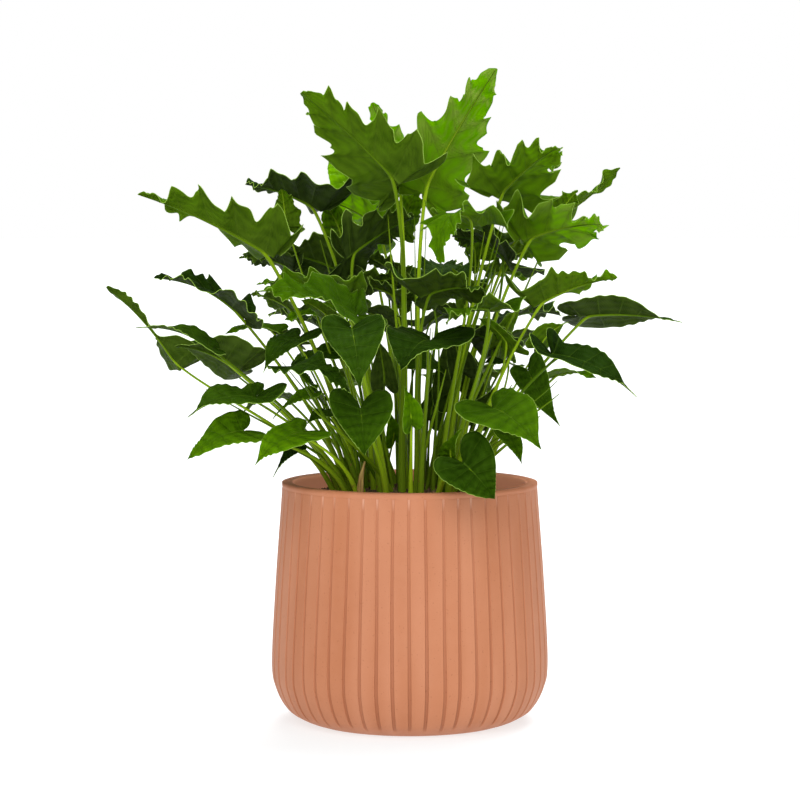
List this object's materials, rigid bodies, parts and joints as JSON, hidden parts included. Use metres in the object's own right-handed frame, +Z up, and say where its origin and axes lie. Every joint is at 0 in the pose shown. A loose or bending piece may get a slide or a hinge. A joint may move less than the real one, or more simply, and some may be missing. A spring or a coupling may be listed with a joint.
{
  "type": "potted shangri-la philodendron",
  "caption": "Bushy house plant with long-stalked, deeply cut and ruffled glossy leaves, planted in a rounded, vertically grooved matte terracotta planter.",
  "frame": {"origin": "centre of the planter's flat foot, on the surface it stands on", "axes": "+Z up along the planter's axis; -Y is the front, the side the picture was taken from; +X is to the right as seen from the front"},
  "size_m": [0.4901, 0.3873, 0.5664],
  "materials": {
    "terracotta": "matte",
    "soil": "matte",
    "dry_sheath": "matte",
    "leaf_dark": "satin",
    "leaf_bright": "satin",
    "leaf_young": "satin"
  },
  "bodies": {
    "root": {"pot": "terracotta", "soil": "soil", "dry_sheath": "dry_sheath", "leaf_01": "leaf_bright", "leaf_02": "leaf_young", "leaf_03": "leaf_bright", "leaf_04": "leaf_young", "leaf_05": "leaf_bright", "leaf_06": "leaf_bright", "leaf_07": "leaf_bright", "leaf_08": "leaf_dark", "leaf_09": "leaf_young", "leaf_10": "leaf_young", "leaf_11": "leaf_dark", "leaf_12": "leaf_dark", "leaf_13": "leaf_bright", "leaf_14": "leaf_bright", "leaf_15": "leaf_dark", "leaf_16": "leaf_dark", "leaf_17": "leaf_dark", "leaf_18": "leaf_dark", "leaf_19": "leaf_dark", "leaf_20": "leaf_bright", "leaf_21": "leaf_bright", "leaf_22": "leaf_dark", "leaf_23": "leaf_bright", "leaf_24": "leaf_dark", "leaf_25": "leaf_dark", "leaf_26": "leaf_dark", "leaf_27": "leaf_dark", "leaf_28": "leaf_dark", "leaf_29": "leaf_dark", "leaf_30": "leaf_bright", "leaf_31": "leaf_bright", "leaf_32": "leaf_dark", "leaf_33": "leaf_dark", "leaf_34": "leaf_dark", "leaf_35": "leaf_bright", "leaf_36": "leaf_bright", "leaf_37": "leaf_dark", "leaf_38": "leaf_bright", "leaf_39": "leaf_dark", "leaf_40": "leaf_young", "leaf_41": "leaf_dark", "leaf_42": "leaf_dark", "leaf_43": "leaf_dark", "leaf_44": "leaf_bright", "leaf_45": "leaf_dark", "leaf_46": "leaf_bright", "leaf_47": "leaf_dark", "leaf_48": "leaf_dark", "leaf_49": "leaf_dark", "leaf_50": "leaf_dark", "leaf_51": "leaf_dark", "leaf_52": "leaf_dark", "leaf_53": "leaf_dark", "leaf_54": "leaf_dark", "leaf_55": "leaf_young", "leaf_56": "leaf_bright", "leaf_57": "leaf_dark"}
  },
  "joints": []
}
